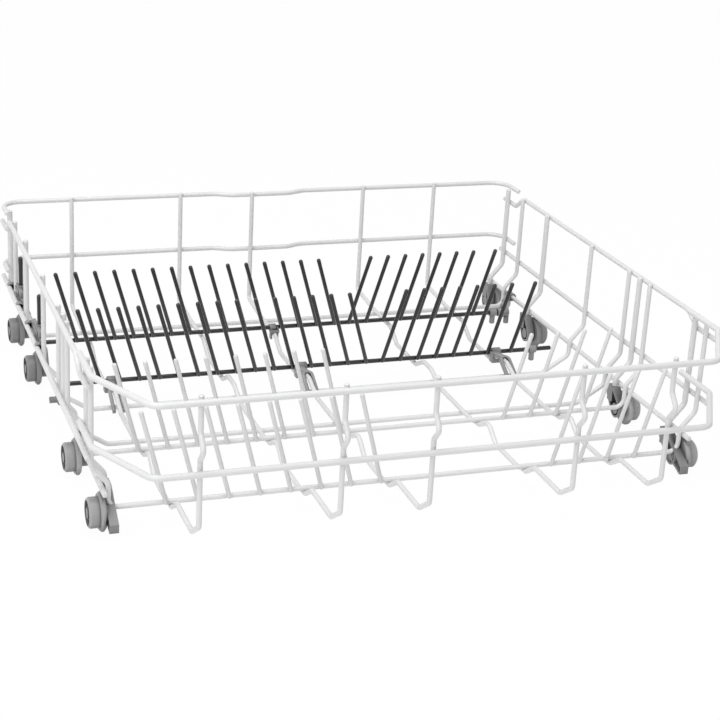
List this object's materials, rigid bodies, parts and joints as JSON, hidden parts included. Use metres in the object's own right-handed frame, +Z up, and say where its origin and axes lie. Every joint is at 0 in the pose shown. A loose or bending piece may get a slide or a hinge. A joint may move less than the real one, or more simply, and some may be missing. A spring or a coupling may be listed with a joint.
{
  "type": "dishwasher lower basket",
  "caption": "Wire lower dishwasher basket with folding dark tine rows, fixed pale tine rows, stepped side walls and flanged wheels on clipped carriers.",
  "frame": {"origin": "on the floor under the middle of the basket", "axes": "+X to the right, +Y to the back, +Z up; the folding rows are nearer the back"},
  "size_m": [0.5299, 0.5304, 0.143],
  "materials": {
    "coated_wire": "satin nylon coating over steel wire",
    "dark_wire": "satin charcoal coating over steel wire",
    "wheel_plastic": "moulded grey plastic",
    "clip_plastic": "moulded grey plastic"
  },
  "bodies": {
    "basket": {"back_upper_rail": "coated_wire", "back_middle_rail": "coated_wire", "front_upper_rail": "coated_wire", "front_lower_rail": "coated_wire", "left_upper_rail": "coated_wire", "right_upper_rail": "coated_wire", "left_middle_rail": "coated_wire", "right_middle_rail": "coated_wire", "left_lower_rail": "coated_wire", "right_lower_rail": "coated_wire", "long_rib_1": "coated_wire", "long_rib_2": "coated_wire", "long_rib_3": "coated_wire", "long_rib_4": "coated_wire", "long_rib_5": "coated_wire", "cross_wire_1": "coated_wire", "cross_wire_2": "coated_wire", "cross_wire_3": "coated_wire", "cross_wire_4": "coated_wire", "cross_wire_5": "coated_wire", "back_fixed_tines": "coated_wire", "front_fixed_tines": "coated_wire", "left_wheel_post_1": "coated_wire", "right_wheel_post_1": "coated_wire", "left_carrier_1": "clip_plastic", "right_carrier_1": "clip_plastic", "left_wheel_post_2": "coated_wire", "right_wheel_post_2": "coated_wire", "left_carrier_2": "clip_plastic", "right_carrier_2": "clip_plastic", "left_wheel_post_3": "coated_wire", "right_wheel_post_3": "coated_wire", "left_carrier_3": "clip_plastic", "right_carrier_3": "clip_plastic", "left_wheel_post_4": "coated_wire", "right_wheel_post_4": "coated_wire", "left_carrier_4": "clip_plastic", "right_carrier_4": "clip_plastic", "back_axle_clip": "clip_plastic", "back_axle_end_clip": "clip_plastic", "front_axle_clip_1": "clip_plastic", "front_axle_clip_2": "clip_plastic", "front_axle_clip_3": "clip_plastic", "latch_clips": "clip_plastic", "side_bumper": "clip_plastic", "latch_rods": "dark_wire"},
    "back_tine_row": {"back_fold_axle": "dark_wire", "back_fold_tines": "dark_wire", "back_stop_peg": "clip_plastic"},
    "front_tine_row": {"front_fold_axle": "dark_wire", "front_fold_tines": "dark_wire", "front_stop_peg": "clip_plastic"},
    "left_wheel_1": {"left_wheel_1": "wheel_plastic"},
    "left_wheel_2": {"left_wheel_2": "wheel_plastic"},
    "left_wheel_3": {"left_wheel_3": "wheel_plastic"},
    "left_wheel_4": {"left_wheel_4": "wheel_plastic"},
    "right_wheel_1": {"right_wheel_1": "wheel_plastic"},
    "right_wheel_2": {"right_wheel_2": "wheel_plastic"},
    "right_wheel_3": {"right_wheel_3": "wheel_plastic"},
    "right_wheel_4": {"right_wheel_4": "wheel_plastic"}
  },
  "joints": [
    {"name": "back_row_fold", "type": "hinge", "parent": "basket", "child": "back_tine_row", "pos_m": [0, 0.162, 0.0305], "axis": [-1, 0, 0], "range_deg": [0, 82]},
    {"name": "front_row_fold", "type": "hinge", "parent": "basket", "child": "front_tine_row", "pos_m": [0, 0.086, 0.0185], "axis": [-1, 0, 0], "range_deg": [0, 82]},
    {"name": "left_wheel_1_spin", "type": "hinge", "parent": "basket", "child": "left_wheel_1", "pos_m": [-0.2565, 0.239, 0.0155], "axis": [1, 0, 0], "continuous": true},
    {"name": "left_wheel_2_spin", "type": "hinge", "parent": "basket", "child": "left_wheel_2", "pos_m": [-0.2565, 0.137, 0.0155], "axis": [1, 0, 0], "continuous": true},
    {"name": "left_wheel_3_spin", "type": "hinge", "parent": "basket", "child": "left_wheel_3", "pos_m": [-0.2565, -0.063, 0.0155], "axis": [1, 0, 0], "continuous": true},
    {"name": "left_wheel_4_spin", "type": "hinge", "parent": "basket", "child": "left_wheel_4", "pos_m": [-0.2565, -0.167, 0.0155], "axis": [1, 0, 0], "continuous": true},
    {"name": "right_wheel_1_spin", "type": "hinge", "parent": "basket", "child": "right_wheel_1", "pos_m": [0.2565, 0.239, 0.0155], "axis": [1, 0, 0], "continuous": true},
    {"name": "right_wheel_2_spin", "type": "hinge", "parent": "basket", "child": "right_wheel_2", "pos_m": [0.2565, 0.137, 0.0155], "axis": [1, 0, 0], "continuous": true},
    {"name": "right_wheel_3_spin", "type": "hinge", "parent": "basket", "child": "right_wheel_3", "pos_m": [0.2565, -0.063, 0.0155], "axis": [1, 0, 0], "continuous": true},
    {"name": "right_wheel_4_spin", "type": "hinge", "parent": "basket", "child": "right_wheel_4", "pos_m": [0.2565, -0.167, 0.0155], "axis": [1, 0, 0], "continuous": true}
  ]
}
